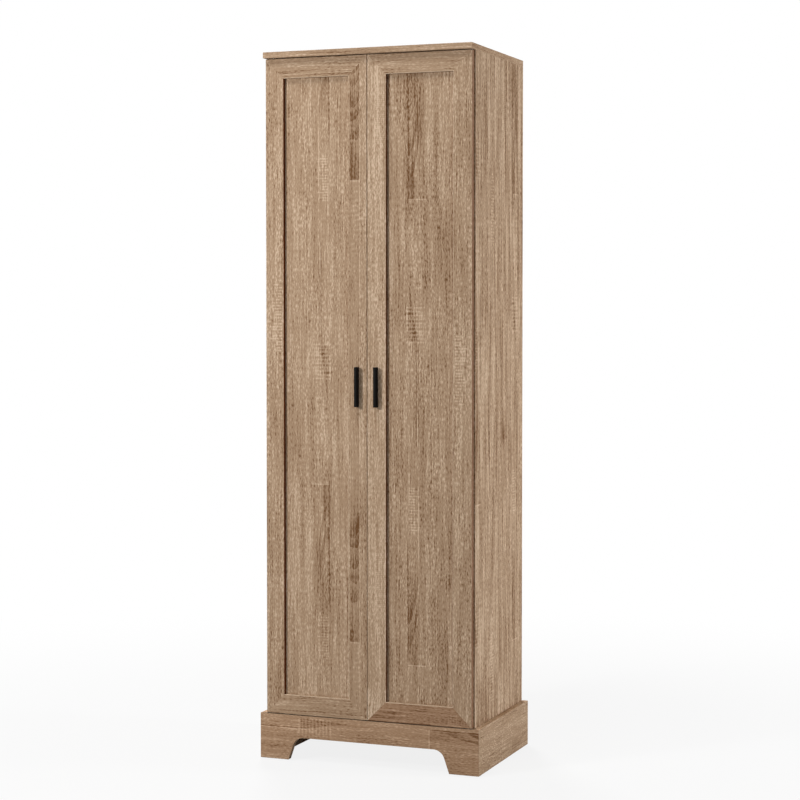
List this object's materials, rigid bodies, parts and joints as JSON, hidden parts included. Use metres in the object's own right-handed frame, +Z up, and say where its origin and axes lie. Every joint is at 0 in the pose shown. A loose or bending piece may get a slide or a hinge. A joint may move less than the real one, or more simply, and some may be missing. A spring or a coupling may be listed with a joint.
{
  "type": "storage cabinet",
  "caption": "Tall narrow storage cabinet in light rough-sawn oak laminate: framed double doors with slim black bar handles, shelves inside, and a bracket base with an arched front.",
  "frame": {"origin": "on the floor, in the middle of the overall box, handles included", "axes": "+X to the right seen from the front, +Y to the back, +Z up"},
  "size_m": [0.592, 0.413, 1.8],
  "materials": {
    "oak_laminate": "textured matt oak laminate on fibreboard",
    "back_board": "thin hardboard, printed oak face, brown back",
    "plain_wood": "unfinished softwood and beech",
    "black_metal": "matt black powder coat",
    "zinc_steel": "bright zinc plate",
    "black_plastic": "moulded black",
    "white_plastic": "moulded white",
    "clear_rubber": "clear soft bumper"
  },
  "bodies": {
    "cabinet": {"adjustable_shelf_1": "oak_laminate", "adjustable_shelf_2": "oak_laminate", "adjustable_shelf_3": "oak_laminate", "adjustable_shelf_4": "oak_laminate", "back_panel_nails": "zinc_steel", "base_back_rail": "oak_laminate", "base_corner_blocks": "plain_wood", "base_front_board": "oak_laminate", "base_left_board": "oak_laminate", "base_right_board": "oak_laminate", "base_screws": "zinc_steel", "bottom_panel": "oak_laminate", "cam_bolts": "zinc_steel", "cam_locks": "zinc_steel", "carcass_dowels": "plain_wood", "catch_screws": "zinc_steel", "fixed_middle_shelf": "oak_laminate", "foot_glides": "black_plastic", "frame_leaf_screws": "zinc_steel", "hinge_pins": "zinc_steel", "hinge_washers": "black_plastic", "left_frame_hinge_leaves": "zinc_steel", "left_magnetic_catch": "white_plastic", "left_side_panel": "oak_laminate", "lower_back_panel": "back_board", "right_frame_hinge_leaves": "zinc_steel", "right_magnetic_catch": "white_plastic", "right_side_panel": "oak_laminate", "shelf_pins": "zinc_steel", "top_board": "oak_laminate", "upper_back_panel": "back_board", "wall_bracket": "zinc_steel", "wall_bracket_screws": "zinc_steel"},
    "left_door": {"left_door_bottom_rail": "oak_laminate", "left_door_bumper": "clear_rubber", "left_door_handle_stile": "oak_laminate", "left_door_hinge_leaves": "zinc_steel", "left_door_hinge_stile": "oak_laminate", "left_door_leaf_screws": "zinc_steel", "left_door_mitre_dowels": "plain_wood", "left_door_panel": "oak_laminate", "left_door_top_rail": "oak_laminate", "left_handle": "black_metal", "left_handle_screws": "zinc_steel", "left_strike_plate": "zinc_steel", "left_strike_screw": "zinc_steel"},
    "right_door": {"right_door_bottom_rail": "oak_laminate", "right_door_bumper": "clear_rubber", "right_door_handle_stile": "oak_laminate", "right_door_hinge_leaves": "zinc_steel", "right_door_hinge_stile": "oak_laminate", "right_door_leaf_screws": "zinc_steel", "right_door_mitre_dowels": "plain_wood", "right_door_panel": "oak_laminate", "right_door_top_rail": "oak_laminate", "right_handle": "black_metal", "right_handle_screws": "zinc_steel", "right_strike_plate": "zinc_steel", "right_strike_screw": "zinc_steel"}
  },
  "joints": [
    {"name": "left_door_hinge", "type": "hinge", "parent": "cabinet", "child": "left_door", "pos_m": [-0.2725, -0.1845, 0.9515], "axis": [0, 0, -1], "range_deg": [0, 180]},
    {"name": "right_door_hinge", "type": "hinge", "parent": "cabinet", "child": "right_door", "pos_m": [0.2725, -0.1845, 0.9515], "axis": [0, 0, 1], "range_deg": [0, 180]}
  ]
}
